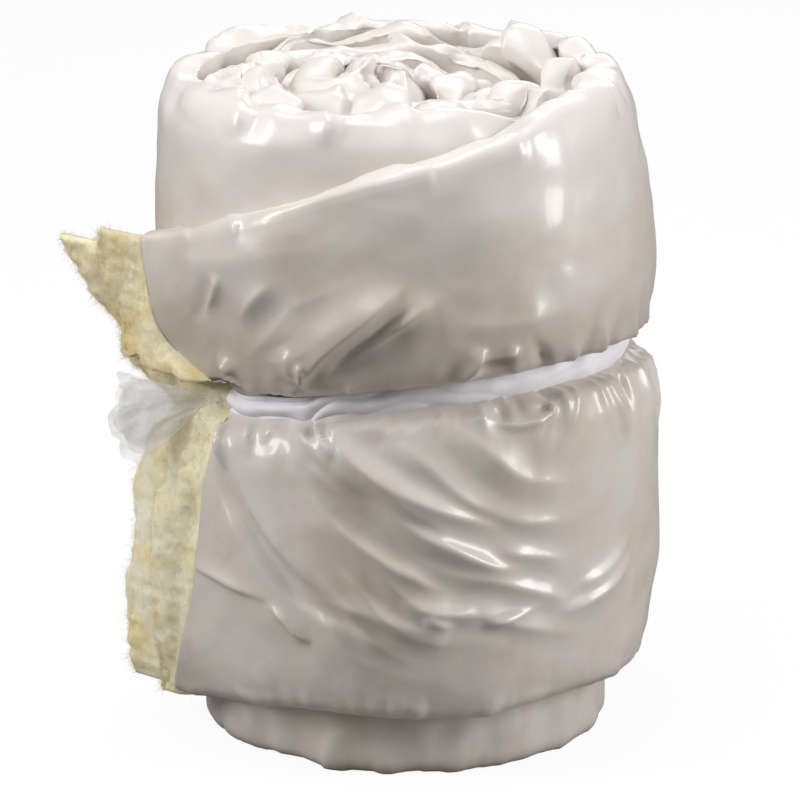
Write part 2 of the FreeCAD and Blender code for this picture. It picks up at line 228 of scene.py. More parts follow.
def wound_in(phi, z):
    """How far the spiral has come in by an unwrapped angle, above and below the waist."""
    turns = phi / (2 * math.pi)
    whole = np.floor(np.maximum(turns, 0))
    part = np.maximum(turns, 0) - whole
    upper = curve(part, [0, 0.2, 0.4, 0.55, 0.75, 0.88, 1], [0, 0.02, 0.06, 0.09, 0.16, 0.5, 1])
    lower = curve(part, [0, 0.3, 0.5, 0.6, 0.7, 1], [0, 0, 0.05, 0.4, 0.9, 1])
    pinched = np.maximum(ease(outer_radius(phi, z), WAIST, WAIST + 12), ease(phi, 4.6, 5.3))
    first = np.where(whole > 0, 1, pinched)
    return PITCH * (whole + np.where(z > TIE, upper, lower) * first)


def lean(phi, z):
    """How far the turns' centre is to the right of the roll's axis."""
    inner = np.maximum(phi / (2 * math.pi) - 0.9, 0)
    return UPPER_LEAN * ease(z, TIE, HEIGHT) - 3.2 * inner * ease(z, TIE, TIE + 60)


def leave_angle(z):
    """The angle left of the front where the loose end leaves the roll, in radians."""
    degrees = curve(z, [30, 150, 205, PINCH, 246, 285, 335, 410], [42, 46, 51, 50, 50, 43, 34, 30])
    return np.radians(degrees)


def hem_x(z):
    """The film's cut edge, seen from the front: its X by height."""
    heights = [35, 60, 100, 150, 185, 205, 218, 228, 236, 241, 246, 256, 272, 302, 330, 345]
    places = [149, 144, 136, 130, 126, 121, 114, 108, 110, 116, 125, 140, 155, 168, 177, 179]
    return -curve(z, heights, places)


def end_length(z):
    """The length of the loose end of film, from where it leaves the roll."""
    angle = leave_angle(z)
    radius = outer_radius(-angle, z)
    return np.maximum((lean(-angle, z) - radius * np.sin(angle) - hem_x(z)) / np.cos(angle), 2)


def sheet_point(phi, beyond, inward, z):
    """A point at an unwrapped angle, beyond the roll along the loose end, and inward from the face."""
    radius = outer_radius(phi, z) - wound_in(phi, z)
    sine = np.sin(phi)
    cosine = np.cos(phi)
    x = lean(phi, z) + (radius - inward) * sine - beyond * cosine
    y = -(radius - inward) * cosine - beyond * sine
    return np.stack([x, y, z + 0 * x], -1)


def front_to_sheet(x, z):
    """The distance along the sheet, from the front's middle, of a place seen at the front."""
    x = float(x)
    z = float(z)
    angle = leave_angle(z)
    radius = outer_radius(0.0, z)
    middle = lean(0.0, z)
    leaves = middle - radius * math.sin(angle)
    if x < leaves:
        return -ARC * angle - (leaves - x) / math.cos(angle)
    return ARC * math.asin(min(max((x - middle) / radius, -1), 1))


def upper_edge(along):
    """The height of the outer turn's upper edge, by distance along the sheet."""
    return curve(
        along,
        [-235, -190, -110, -48, -10, 30, 66, 100, 150],
        [326, 335, 364, 387, 396, 404, 411, 418, HEIGHT + 2],
    )


def lower_edge(along):
    """The height of the outer turn's lower edge. It comes down to the floor as the turn goes in."""
    return curve(
        along,
        [-190, -120, -60, 0, 30, 110, 180, 300, 520, 640, 700, 900],
        [30, 37, 43, 42, 41, 44, 43, 42, 38, 14, 3, 2],
    )


def folded_edge(turn):
    """An upper edge of the tube, at angles from 0 outside to pi inside: its rise and its way in, 0 to 1."""
    cosine = np.cos(turn)
    across = (1 - np.sign(cosine) * np.abs(cosine) ** SQUARENESS) / 2
    return np.sin(turn) ** SQUARENESS, across


def section_rows(lowest, highest, counts):
    """Heights, and shares of the way in, round the tube's section: its outside, top, inside and bottom."""
    outer, rounding, inner = counts
    straight = highest - lowest - 2 * FOLD
    up = lowest + FOLD + np.linspace(0, 1, outer)[:, None] * straight
    down = lowest + FOLD + np.linspace(1, 0, inner)[:, None] * straight
    turn = np.linspace(0, math.pi, rounding + 2)[1:-1, None]
    rise, top_in = folded_edge(turn)
    top = highest - FOLD + FOLD * rise
    bottom = lowest + FOLD - FOLD * np.sin(turn)
    bottom_in = (1 + np.cos(turn)) / 2
    z = np.concatenate([up, top, down, bottom])
    inward = np.concatenate([up * 0, top_in + 0 * top, down * 0 + 1, bottom_in + 0 * bottom])
    return z, inward


def grid_normals(points, wrap_rows):
    """Normals of a grid of points."""
    if wrap_rows:
        down = np.roll(points, -1, 0) - np.roll(points, 1, 0)
    else:
        down = np.gradient(points, axis=0)
    across = np.gradient(points, axis=1)
    normal = np.cross(across, down)
    return normal / np.maximum(np.linalg.norm(normal, axis=-1, keepdims=True), 1e-9)


def mesh_object(name, points, faces, material):
    """An object from points in millimetres and its faces."""
    mesh = bpy.data.meshes.new(name)
    mesh.from_pydata((points.reshape(-1, 3) * MM).tolist(), [], faces.tolist())
    mesh.materials.append(material)
    piece = bpy.data.objects.new(name, mesh)
    bpy.context.scene.collection.objects.link(piece)
    return piece


def grid_object(name, points, material, wrap_rows=False, uv=None):
    """A smooth object from a grid of points, whose rows may close into a ring."""
    rows, columns = points.shape[:2]
    index = np.arange(rows * columns).reshape(rows, columns)
    below = np.roll(index, -1, 0) if wrap_rows else index[1:]
    here = index if wrap_rows else index[:-1]
    quads = np.stack([here[:, :-1], here[:, 1:], below[:, 1:], below[:, :-1]], -1).reshape(-1, 4)
    piece = mesh_object(name, points, quads, material)
    piece.data.shade_smooth()
    if uv is not None:
        layer = piece.data.uv_layers.new(name="weave")
        layer.data.foreach_set("uv", uv.reshape(-1, 2)[quads.ravel()].ravel())
    return piece


# ---- the folds of the film ----

# Each fold is a crest seen from the front, as X and height, then how high it stands and its widths on
# both sides. One that stands below 0 is a valley.
END_FOLDS = [
    ([(-118, 322), (-122, 308), (-130, 290), (-134, 280)], -1.5, 4, 6),
    ([(-113, 322), (-117, 306), (-126, 288)], 2.5, 3, 6),
    ([(-72, 316), (-80, 302), (-92, 290), (-96, 276)], -1.5, 8, 12),
    ([(-80, 322), (-94, 306), (-104, 288)], 2, 8, 6),
    ([(2, 328), (-22, 306), (-42, 288), (-56, 271), (-59, 250)], 7, 3, 12),
    ([(8, 316), (-18, 293), (-38, 276), (-50, 256)], -4, 12, 3),
    ([(24, 320), (-2, 301), (-22, 285), (-44, 266)], 4, 4, 9),
    ([(-78, 282), (-70, 268), (-68, 254)], 3, 6, 8),
    ([(-116, 265), (-104, 258), (-98, 251)], 4, 3, 5),
    ([(-64, 275), (-62, 264), (-60, 252)], 4, 2, 3),
    ([(-150, 318), (-120, 326), (-80, 338), (-30, 352)], 2.5, 16, 26),
    ([(48, 284), (40, 272), (30, 262)], 4, 3, 6),
    ([(66, 276), (52, 270), (40, 265)], -3, 5, 5),
    ([(70, 280), (58, 276), (44, 272)], 3, 3, 3),
    ([(100, 300), (60, 296), (20, 300)], 1.5, 14, 10),
]
LOWER_FOLDS = [
    ([(-119, 224), (-119, 214), (-117, 202), (-114, 190)], 4, 4, 3),
    (
        [(-124, 208), (-117, 184), (-101, 160), (-84, 138), (-66, 120), (-40, 110), (0, 100), (30, 94)],
        -3.4,
        9,
        4,
    ),
    ([(-110, 196), (-92, 166), (-74, 146), (-52, 128), (-20, 118)], 2.4, 10, 7),
    ([(-79, 232), (-59, 219), (-40, 204), (-20, 190)], 4, 3, 7),
    ([(-60, 240), (-57, 228), (-48, 217), (-42, 213)], 5, 2, 4),
    ([(-62, 240), (-60, 226), (-56, 219)], -4, 2, 2.5),
    ([(-55, 240), (-43, 225), (-32, 212), (-8, 197), (21, 183), (41, 174), (62, 164)], 6.5, 4, 9),
    ([(-48, 240), (-41, 235), (-27, 233), (-16, 230)], 4, 2.5, 4),
    ([(-70, 192), (-38, 168), (-11, 149), (2, 142), (14, 134), (29, 129)], 5, 4, 10),
    ([(-22, 188), (5, 170), (24, 160), (40, 151), (58, 142), (80, 138)], 5.5, 4, 9),
    ([(8, 117), (18, 111), (29, 106)], 4, 2.5, 5),
    ([(-5, 128), (10, 120), (30, 116), (44, 118)], 3, 3, 6),
    ([(44, 106), (62, 110), (84, 114)], 2.5, 2, 4),
    ([(90, 104), (120, 114), (143, 132)], 2, 3, 8),
    ([(98, 118), (124, 128), (142, 146)], 1.6, 4, 9),
    ([(-140, 124), (-120, 122), (-100, 118), (-78, 115)], 2, 8, 2),
    ([(-88, 116), (-76, 106), (-66, 96), (-58, 94)], 3, 3, 3),
    ([(-64, 124), (-26, 117), (5, 107), (28, 103)], 3.5, 7, 9),
    ([(40, 238), (64, 230), (78, 231), (83, 236), (75, 241), (58, 243)], 4, 1.8, 2.2),
    ([(95, 256), (104, 250), (112, 251), (108, 257)], 4, 2, 2.5),
    ([(126, 258), (134, 253), (141, 250)], 3.5, 2, 2.5),
]

# Rows of small gathers at the strap: 1 for up or -1 for down, the first and the last place along the
# sheet, how many there are, and the longest. They are longest round the side and the back.
GATHER_ROWS = [
    (1, -110, 95, 9, 18),
    (-1, -110, 95, 13, 24),
    (1, 95, 860, 50, 55),
    (-1, 95, 860, 58, 60),
]


def waist_gathers():
    """Small random folds that run from the strap, up and down, as points, height and widths."""
    rng = np.random.default_rng(7)
    folds = []
    for way, first, last, count, longest in GATHER_ROWS:
        for start in np.linspace(first, last, count) + rng.uniform(-6, 6, count):
            length = rng.uniform(8, longest)
            drift = rng.uniform(-0.7, 0.5)
            tie = float(tie_height(start / ARC))
            points = []
            for share in (0, 0.4, 1):
                points.append((start + drift * length * share**1.3, tie + way * (5 + length * share)))
            height = rng.uniform(1.5, 3.5) * (1 if rng.uniform() < 0.7 else -0.8)
            folds.append((points, height, rng.uniform(2, 5), rng.uniform(3, 8)))
    return folds


def swags(along, z, slope, spacing, seed):
    """Long soft ridges across a bulge, side by side. They go down by slope for each step to the right."""
    flat = on_sheet(along, z)
    sag = z + slope * along - 0.0012 * along**2
    phase = sag / math.hypot(1, slope) / spacing + 0.7 * noise(flat, 60, seed)
    crest = (1 - np.abs(2 * (phase % 1) - 1)) ** 1.6
    return crest * ease(noise(flat, 40, seed + 1), -0.4, 0.5)


def film_relief(along, z, front_folds):
    """How far the outer face of the outer turn stands off its smooth form."""
    flat = on_sheet(along, z)
    relief = 2.5 * cloudy(flat, 120, 3) + 1.3 * noise(flat * [1, 0.6, 1], 38, 9)
    relief += 0.9 * crumple(along, z, 34, 21) - 0.3
    tie = tie_height(along / ARC)
    relief += bell(z - tie, 24) * (2.2 * crumple(along, z * 0.35, 15, 40) - 0.9)
    # the swags of the lower bulge, and fainter ones on the upper bulge
    low = ease(z, 70, 110) * ease(tie - z, 12, 40) * ease(along, -90, -20) * ease(-along, -150, -50)
    relief += 4 * low * swags(along, z, 0.62, 21, 70)
    high = ease(z - tie, 10, 26) * ease(-z, -335, -290)
    high = high * ease(along, -190, -120) * ease(-along, -90, -20)
    relief += 1.4 * high * swags(along, z, -1.0, 24, 80)
    for points, height, left, right in front_folds:
        placed = [(front_to_sheet(x, h), h) for x, h in points]
        relief += CRUSH * fold_offset(along, z, placed, height, left, right)
    for points, height, left, right in waist_gathers():
        relief += CRUSH * fold_offset(along, z, points, height, left, right, 0.05, 0.7)
    relief = DEEPEST * np.tanh(relief / DEEPEST)
    return relief * ease(np.abs(z - tie), 7, 16)


def rim_relief(along, inward, z, amount):
    """Pleats and flaps on the folded upper edges of the turns."""
    down = inward * 2 * FOLD
    flat = on_sheet(along, 0 * z)
    facets = crumple(along, down * 1.5, 70, 60, 4, patchy=False)
    creases = crumple(along, down, 38, 66, 6)
    phase = (along + 1.2 * down) / 62 + 0.8 * noise(flat, 80, 67)
    rise = phase % 1
    pleats = np.minimum(rise / 0.9, (1 - rise) / 0.1) * ease(noise(flat, 60, 68), -0.5, 0.2)
    return amount * (15 * (facets - 0.5) + 4 * (creases - 0.6) + 9 * (pleats - 0.45))


def near_rim(z, highest):
    """0 on the face, and 1 from just below the rim."""
    return ease(z, highest - 22, highest - 4)


# ---- pieces ----

# Each layer of wool at the loose end: heights, how far left of the axis its tip is at them, and how
# round its upper and lower ends are.
WOOL_TIPS = {
    "upper_near": (
        [217, 225, 236, 252, 273, 296, 310, 328],
        [136, 146, 161, 170, 178, 188, 193, 191],
        12,
    ),
    "upper_far": ([226, 240, 264, 289, 309], [160, 172, 188, 205, 219], 8),
    "lower_near": (
        [27, 50, 98, 125, 158, 174, 205, 228],
        [155, 158, 158, 158, 155, 149, 142, 128],
        9,
    ),
    "lower_far": (
        [27, 45, 78, 115, 166, 187, 208, 226],
        [173, 175, 175, 173, 168, 161, 147, 132],
        8,
    ),
}


def swell(from_tie):
    """How much thicker the loose end is, from 0 at the tie to 1 at its upper or lower end."""
    return SWELL * np.sin(math.pi * from_tie) ** 0.7


def droop(from_tie):
    """The share of its sag that the loose end has, from 0 at the tie to 1 at its upper or lower end."""
    return ease(from_tie, 0.35, 1.1)


def closed_end(points):
    """The grid of a tube with its first columns turned in a little, as the thickness of a cut end."""
    shrunk = []
    for column in (points[:, 1:2], points[:, :1]):
        shrunk.append(column - (column - column.mean(0)) * 0.02)
    return np.concatenate(shrunk + [points], 1)


def make_outer_turn(material):
    """The outer turn of the jacket with its loose end: one mesh, right round the tube's section."""
    end_columns = 46
    front = np.linspace(0, 0.32, 215, endpoint=False)
    back = np.linspace(0.32, 1, 126)
    turned = np.concatenate([np.zeros(end_columns), front, back])
    beyond = np.linspace(1, 0, end_columns, endpoint=False)
    beyond = np.concatenate([beyond, np.zeros(len(front) + len(back))])
    rough_along = ARC * (turned * (LAST_TURN + 0.7) - 0.7) - beyond * 105
    lowest = lower_edge(rough_along)
    highest = upper_edge(rough_along)
    z, inward = section_rows(lowest[None], highest[None], (190, 11, 16))
    angle = leave_angle(z)
    phi = -angle + turned * (LAST_TURN + angle)
    beyond = beyond * end_length(z)
    along = ARC * phi - beyond
    tie = tie_height(phi)
    upper = z > tie
    from_tie = np.abs(z - tie) / np.where(upper, highest - tie, tie - lowest)
    pillow = swell(np.clip(from_tie, 0, 1)) * ease(beyond, 5, 70)
    thick = (2 * FOLD + 3 * ease(z, TIE, HEIGHT)) * (1 - 0.65 * bell(z - tie, 16))
    thick = thick + np.where(inward > 0.999, pillow, 0)
    sag = droop(from_tie) * ease(beyond, 0, 110) * np.where(upper, UPPER_DROOP, LOWER_DROOP)
    points = sheet_point(phi, beyond, inward * thick + sag, z)
    normal = grid_normals(points, True)
    relief = film_relief(along, z, END_FOLDS + LOWER_FOLDS)
    relief *= 1 - 0.9 * bell(z - tie - 17, 12) * ease(beyond, 0, 12)  # smooth where the hem is pinched
    hem = 1.6 * (crumple(along, z, 18, 90) - 0.5) * ease(lowest + 30 - z, 0, 25)
    facing = 1 - ease(inward, 0, 0.6)
    rim = rim_relief(along, inward, z, near_rim(z, highest) * (0.25 + 0.5 * ease(along, 60, 240)))
    points = points + normal * ((relief + hem) * facing + rim)[..., None]
    return grid_object("film_outer_turn", closed_end(points), material, True)


def spiral_steps(first, last, radius_at_zero, step):
    """Angles along a spiral, about as far apart as step, from first to last."""
    steps = [first]
    while steps[-1] < last:
        radius = radius_at_zero - PITCH * steps[-1] / (2 * math.pi)
        steps.append(steps[-1] + step / max(radius, 8))
    return np.array(steps)[None]


def make_inner_turns(material):
    """The upper ends of the inner turns: folded edges, wound in to the eye."""
    start = LAST_TURN - OVERLAP
    phi = spiral_steps(start, EYE, BULGE, RIM_STEP)
    gaps = np.full(phi.shape[1] - 1, RIM_STEP)
    along = np.concatenate([[0], np.cumsum(gaps)])[None] + ARC * start
    depth = curve(phi, [LAST_TURN, LAST_TURN + 1, LAST_TURN + 2], [90, 70, 46])
    flaps = crumple(along, 0 * along, 60, 5, 4, patchy=False) - 0.5
    sink = ease(phi, LAST_TURN, 12) * (6 + 8 * noise(on_sheet(along, 0 * along), 90, 5)) + 22 * flaps
    highest = HEIGHT + 2 - sink * ease(phi, LAST_TURN, LAST_TURN + 0.5)
    turn = np.linspace(0, math.pi, 15)[:, None]
    outer = np.linspace(0, 1, 18, endpoint=False)[:, None]
    inner = np.linspace(0, 1, 9)[1:, None]
    rise, over_in = folded_edge(turn)
    up = highest - depth + outer * (depth - FOLD)
    over = highest - FOLD + FOLD * rise
    down = highest - FOLD - inner * 26
    z = np.concatenate([up, over, down])
    inward = np.concatenate([0 * outer, over_in, 0 * inner + 1]) + 0 * z
    phi = phi + 0 * z
    along = along + 0 * z
    sway = 6 * noise(on_sheet(along, 0 * z), 45, 8) * ease(phi, LAST_TURN, 7)
    thick = 2 * FOLD + 3 + 2 * ease(phi, LAST_TURN, 8)
    points = sheet_point(phi, 0, inward * thick + sway, np.minimum(z, HEIGHT))
    points[..., 2] = z
    normal = grid_normals(points, False)
    facing = 1 - ease(inward, 0, 0.6)
    face = film_relief(along, z, []) * facing * (1 - ease(phi, LAST_TURN, LAST_TURN + 1))
    crumpled = near_rim(z, highest) * curve(phi, [LAST_TURN, 8, 9], [0.75, 1, 1])
    rim = rim_relief(along, inward, z, crumpled)
    points = points + normal * (face + rim)[..., None]
    return grid_object("film_inner_turns", points, material)


def make_foot(material):
    """The lower ends of the inner turns, on which the roll stands."""
    phi = spiral_steps(FOOT_START, FOOT_EYE, FOOT, FOOT_STEP)
    tucked = TUCK * (1 - ease(phi, FOOT_START, FOOT_START + 0.75))
    radius = FOOT - PITCH * np.maximum(phi, 0) / (2 * math.pi) - tucked
    along = np.cumsum(np.full(phi.shape[1], FOOT_STEP))[None]
    depth = curve(phi, [0, 6, 8], [84, 84, 40])
    turn = np.linspace(0, math.pi, 11)[:, None]
    outer = np.linspace(0, 1, 20, endpoint=False)[:, None]
    inner = np.linspace(0, 1, 7)[1:, None]
    wide = 0 * phi
    down = depth - outer * (depth - FOLD)
    under = FOLD - FOLD * np.sin(turn) + wide
    up = FOLD + inner * 20 + wide
    z = np.concatenate([down, under, up])
    inward = np.concatenate([0 * outer, (1 - np.cos(turn)) / 2, 0 * inner + 1]) + 0 * z
    along = along + 0 * z
    reach = radius - inward * 2 * FOLD
    points = np.stack([reach * np.sin(phi), -reach * np.cos(phi), z], -1)
    normal = grid_normals(points, False)
    creases = crumple(along, (z + inward * 20) * 0.5, 26, 15)
    relief = 2.2 * cloudy(on_sheet(along, z), 60, 12) + 3.4 * (creases - 0.6)
    points = points - normal * relief[..., None]
    points[..., 2] = np.maximum(points[..., 2], 0.2)
    return grid_object("film_foot", points, material)


def make_blanket_layer(name, material, layer, seed):
    """One layer of glass wool at the loose end, above or below the tie, with its loose fibres."""
    heights, tips, rounding = WOOL_TIPS[layer]
    near = "near" in layer
    z = np.linspace(heights[0], heights[-1], 120)[:, None]
    angle = leave_angle(z)
    free = end_length(z)
    radius = outer_radius(-angle, z)
    edge = np.minimum(z - z[0], z[-1] - z)
    from_tie = np.clip(np.abs(z - PINCH) / np.where(z > PINCH, ABOVE_PINCH, BELOW_PINCH), 0, 1)
    thick = 2 * FOLD * (1 - 0.4 * bell(z - PINCH, 14)) + swell(from_tie)
    sag = droop(from_tie) * (UPPER_DROOP if "upper" in layer else LOWER_DROOP)
    # the layer's two faces, which close at its upper and lower ends
    outside = 2 if near else thick / 2 + LAYER_GAP
    inside = thick / 2 - LAYER_GAP if near else thick + 1
    middle = (outside + inside) / 2
    full = np.sqrt(1 - (1 - np.clip(edge / rounding, 0, 1)) ** 2)
    bend = (inside - outside) / 2 * full + 0.2
    outside = middle - bend
    inside = middle + bend
    # from its root in the film, out to its tip and back
    tip = lean(-angle, z) - (radius - middle - sag) * np.sin(angle)
    tip = (tip + curve(z, heights, tips)) / np.cos(angle)
    root_at = np.maximum(free - 45, 2)
    tip = np.maximum(tip, root_at + 12)
    end = np.minimum(bend, 13)
    out_share = np.linspace(0, 1, 26, endpoint=False)[None]
    around = np.linspace(-math.pi / 2, math.pi / 2, 22)[None]
    back_share = np.linspace(1, 0, 27)[None][:, 1:]
    straight = tip - end - root_at
    beyond = np.concatenate(
        [
            root_at + out_share * straight,
            tip - end + end * np.cos(around),
            root_at + back_share * straight,
        ],
        1,
    )
    inward = np.concatenate(
        [outside + 0 * out_share, middle + bend * np.sin(around), inside + 0 * back_share], 1
    )
    # tucked in behind the film, but drawn out in front of it where the strap pinches it
    tucked = 8 * ease(free + 4 - beyond, 0, 16) * (1 - bell(z - PINCH - 6, 18))
    if near:
        tucked = tucked - 13 * bell(z - PINCH - 8, 21) * ease(beyond, free - 6, free + 10)
    lift = 12 * ease(free - 2 - beyond, 0, 34) * ease(-z, -90, -30)
    points = sheet_point(-angle + 0 * beyond, beyond, inward + sag + tucked, z + 0 * beyond)
    points[..., 2] += lift
    normal = grid_normals(points, False)
    fine = 0.35 * noise(points * [1, 1, 0.4], 2.6, seed + 3)
    coarse = 2.4 * noise(points * [1, 1, 0.3], 9, seed + 1)
    lumps = 2.8 * noise(points, 22, seed) + 1.2 * noise(points, 5, seed + 2) + (fine + coarse)
    shown = ease(beyond, free, free + 10)
    points = points + normal * (lumps * shown * ease(edge, 0, 6))[..., None]
    piece = grid_object(name, points, material)
    add_fibres(name + "_fibres", material, points, normal, shown * (edge > 1), seed)
    return piece


def add_fibres(name, material, points, normal, shown, seed, count=11000):
    """Loose fibres that stand off a layer of glass wool: thin curved strips that narrow to a point."""
    rng = np.random.default_rng(seed)
    candidates = np.argwhere(shown > 0.5)
    picked = candidates[rng.integers(0, len(candidates), count)]
    root = points[picked[:, 0], picked[:, 1]] + rng.normal(0, 0.8, (count, 3))
    out = normal[picked[:, 0], picked[:, 1]]
    lie = rng.normal(0, 1, (count, 3))
    lie[:, 2] *= 1.6
    lie = lie / np.linalg.norm(lie, axis=1, keepdims=True)
    way = lie + out * rng.uniform(-0.1, 0.4, (count, 1))
    length = rng.gamma(2.2, 1.1, (count, 1)) + 1.2
    curl = np.cross(way, rng.normal(0, 1, (count, 3))) * 0.5
    side = np.cross(way, out + 0.01)
    side = side / np.maximum(np.linalg.norm(side, axis=1, keepdims=True), 1e-6)
    side = side * rng.uniform(0.06, 0.13, (count, 1))
    rings = []
    for share in (0, 0.35, 0.7, 1):
        middle = root + way * length * share + curl * length * share**2 - out * 0.4
        width = side * (1 - 0.8 * share)
        rings += [middle - width, middle + width]
    vertices = np.stack(rings, 1)
    base = np.arange(count)[:, None] * len(rings)
    faces = np.concatenate([base + np.array([0, 1, 3, 2]) + 2 * k for k in range(3)])
    finish_piece(mesh_object(name, vertices, faces, material), "fiberglass_blanket")


def make_strap(material):
    """The woven strap round the waist, crushed at the left of the front and lapped at the back."""
    lap = 0.16
    phi = np.linspace(-math.pi, math.pi + lap, 530)[None]
    share = np.linspace(-1, 1, 25)[:, None]
    along = phi * WAIST
    flat = on_sheet(along, 0 * along)
    crushed = bell(phi + 0.62, 0.55)
    half = 9.5 + 1.0 * noise(flat, 60, 30) - 2.0 * crushed
    pleat = 2.6 * np.abs(np.sin(share * 2.6 + 3 * noise(flat, 35, 31))) * (0.2 + crushed)
    sag = 3.0 * crushed * noise(flat, 22, 33)
    kink = -8 * bell(phi + 0.47, 0.05) * ease(-share, -0.2, 1)
    radius = WAIST + 1.8 + pleat + 1.2 * noise(flat + [0, 3, 0], 16, 32) - 2.5 * share**2
    radius += 1.6 * ease(phi, math.pi - lap / 2, math.pi)
    z = tie_height(phi) + share * half + sag + kink
    points = np.stack([radius * np.sin(phi), -radius * np.cos(phi), z], -1)
    uv = np.stack([along + 0 * share, share * 10 + 0 * along], -1)
    piece = grid_object("strap_band", points, material, uv=uv)
    solid = piece.modifiers.new("thickness", "SOLIDIFY")
    solid.thickness = 0.6 * MM
    solid.offset = 1
    return piece


def make_tail(material):
    """The strap's torn tail: three sheets of thin crushed film that fan out from the pinch."""
    root = np.array([-119, -86, 230.0])
    longest = 69
    spread = np.linspace(-1, 1, 70)[None]
    out = np.linspace(0, 1, 56)[:, None]
    sheets = []
    for layer in range(3):
        flat = on_sheet(spread * 40, out * 70) + [0, 0, layer * 50]
        heading = math.pi + 0.2 + spread * 0.5 + 0.04 * layer
        ragged = longest + 7 * noise(flat[-1:], 14, 50) + 3 * noise(flat[-1:], 6, 51)
        reach = out * (ragged - 5 * layer - 9 * spread**2)
        x = root[0] + reach * np.cos(heading)
        z = root[2] + reach * np.sin(heading)
        y = root[1] + 10 - out * 4 + layer * 4 + out * 6 * noise(flat, 26, 52 + layer)
        y = y + out * 3 * (crumple(flat[..., 0], flat[..., 1], 20, 55 + layer) - 0.6)
        points = np.stack([x, y, z], -1)
        sheets.append(grid_object(f"strap_tail_{layer + 1}", points, material))
    return sheets


# ---- materials ----


def srgb(red, green, blue):
    """A colour as it shows on a screen, 0 to 255, as Blender's linear colour."""
    channels = [c / 255 for c in (red, green, blue)]
    return [c / 12.92 if c < 0.04045 else ((c + 0.055) / 1.055) ** 2.4 for c in channels] + [1.0]


class Nodes:
    """A short way to build a material's node tree."""

    def __init__(self, name):
        self.material = bpy.data.materials.new(name)
        self.material.use_nodes = True
        self.tree = self.material.node_tree
        self.shader = self.tree.nodes["Principled BSDF"]
        self.place = self.add("ShaderNodeTexCoord").outputs["Object"]

    def feed(self, socket, value):
        """Links a socket to another, or sets its number or colour."""
        if isinstance(value, bpy.types.NodeSocket):
            self.tree.links.new(value, socket)
        else:
            socket.default_value = value

    def add(self, kind, inputs=None, **settings):
        """A new node with its inputs fed and its settings made."""
        node = self.tree.nodes.new(kind)
        for key, value in settings.items():
            setattr(node, key, value)
        for key, value in (inputs or {}).items():
            self.feed(node.inputs[key], value)
        return node

    def noise(self, size, detail=3.0, roughness=0.55, distortion=0.0, stretch=None):
        """Noise with features of that size in millimetres."""
        vector = self.place
        if stretch:
            mapping = self.add("ShaderNodeMapping", {"Vector": vector, "Scale": stretch})
            vector = mapping.outputs["Vector"]
        values = {"Vector": vector, "Scale": 1 / (size * MM), "Detail": detail}
        values |= {"Roughness": roughness, "Distortion": distortion}
        return self.add("ShaderNodeTexNoise", values).outputs["Fac"]

    def climb(self, low, high, most, kind="LINEAR"):
        """0 at one height in millimetres, and most at another."""
        height = self.add("ShaderNodeSeparateXYZ", {"Vector": self.place}).outputs["Z"]
        inputs = {"Value": height, "From Min": low * MM, "From Max": high * MM, "To Max": most}
        return self.add("ShaderNodeMapRange", inputs, interpolation_type=kind).outputs["Result"]

    def ramp(self, value, stops):
        """A colour that follows a value by way of (position, colour) stops."""
        node = self.add("ShaderNodeValToRGB", {"Fac": value})
        elements = node.color_ramp.elements
        while len(elements) < len(stops):
            elements.new(0.5)
        for element, (position, colour) in zip(elements, stops):
            element.position = position
            element.color = colour
        return node.outputs["Color"]

    def mix(self, share, first, second, blend="MIX"):
        """Two colours mixed or blended."""
        node = self.add("ShaderNodeMix", data_type="RGBA", blend_type=blend)
        for name, value in (("Factor_Float", share), ("A_Color", first), ("B_Color", second)):
            self.feed(next(s for s in node.inputs if s.identifier == name), value)
        return next(s for s in node.outputs if s.identifier == "Result_Color")

    def calc(self, operation, first, second):
        """The sum, product or other result of two values."""
        return self.add("ShaderNodeMath", {0: first, 1: second}, operation=operation).outputs[0]

    def grey(self, value, low, high):
        """The value brought from about 0.3 to 0.7 to between low and high."""
        inputs = {"Value": value, "From Min": 0.3, "From Max": 0.7, "To Min": low, "To Max": high}
        return self.add("ShaderNodeMapRange", inputs).outputs["Result"]

    def bump(self, layers):
        """Bump from (height, distance in millimetres, strength) layers, coarse first."""
        normal = None
        for height, distance, strength in layers:
            inputs = {"Height": height, "Distance": distance * MM, "Strength": strength}
            if normal:
                inputs["Normal"] = normal
            normal = self.add("ShaderNodeBump", inputs).outputs["Normal"]
        self.tree.links.new(normal, self.shader.inputs["Normal"])

    def set(self, **sockets):
        """Sets or links the shader's sockets, named with underscores for spaces."""
        for key, value in sockets.items():
            self.feed(self.shader.inputs[key.replace("_", " ")], value)


def film_material():
    """Cloudy off-white film, with painted light: whiter towards the top, and painted shade just above the
    tie.
    """
    n = Nodes("cloudy_film")
    colour = n.ramp(
        n.noise(60, 4, 0.6, 0.4),
        [
            (0.30, srgb(201, 190, 176)),
            (0.45, srgb(208, 199, 189)),
            (0.6, srgb(212, 204, 198)),
            (0.8, srgb(206, 196, 184)),
        ],
    )
    # Painted light: the film's colour is whiter towards the top of the turns, standing in for the light
    # that falls on the top of the roll.
    crushed = n.climb(330, HEIGHT - 12, 0.85, "SMOOTHSTEP")
    colour = n.mix(crushed, colour, srgb(227, 221, 216))
    # Painted shade: the film is darkened over the upper bulge's lower part, most towards the tie, where the
    # bulge curves under and is in shadow.
    above_tie = n.climb(TIE - 12, TIE + 6, 1.0)
    near_tie = n.climb(330, TIE + 8, 0.6, "SMOOTHSTEP")
    painted_waist_shade = n.calc("MULTIPLY", near_tie, above_tie)
    colour = n.mix(painted_waist_shade, colour, srgb(176, 165, 152))
    n.set(Base_Color=colour, Roughness=n.grey(n.noise(40, 2), 0.29, 0.43))
    n.set(Coat_Weight=0.3, Coat_Roughness=0.12, Specular_IOR_Level=0.5)
    crinkle = n.noise(9, 2, 0.5, stretch=(1, 1, 0.5))
    n.bump([(n.noise(26, 3, 0.5), 1.0, 0.4), (crinkle, 0.12, 0.25)])
    return n.material


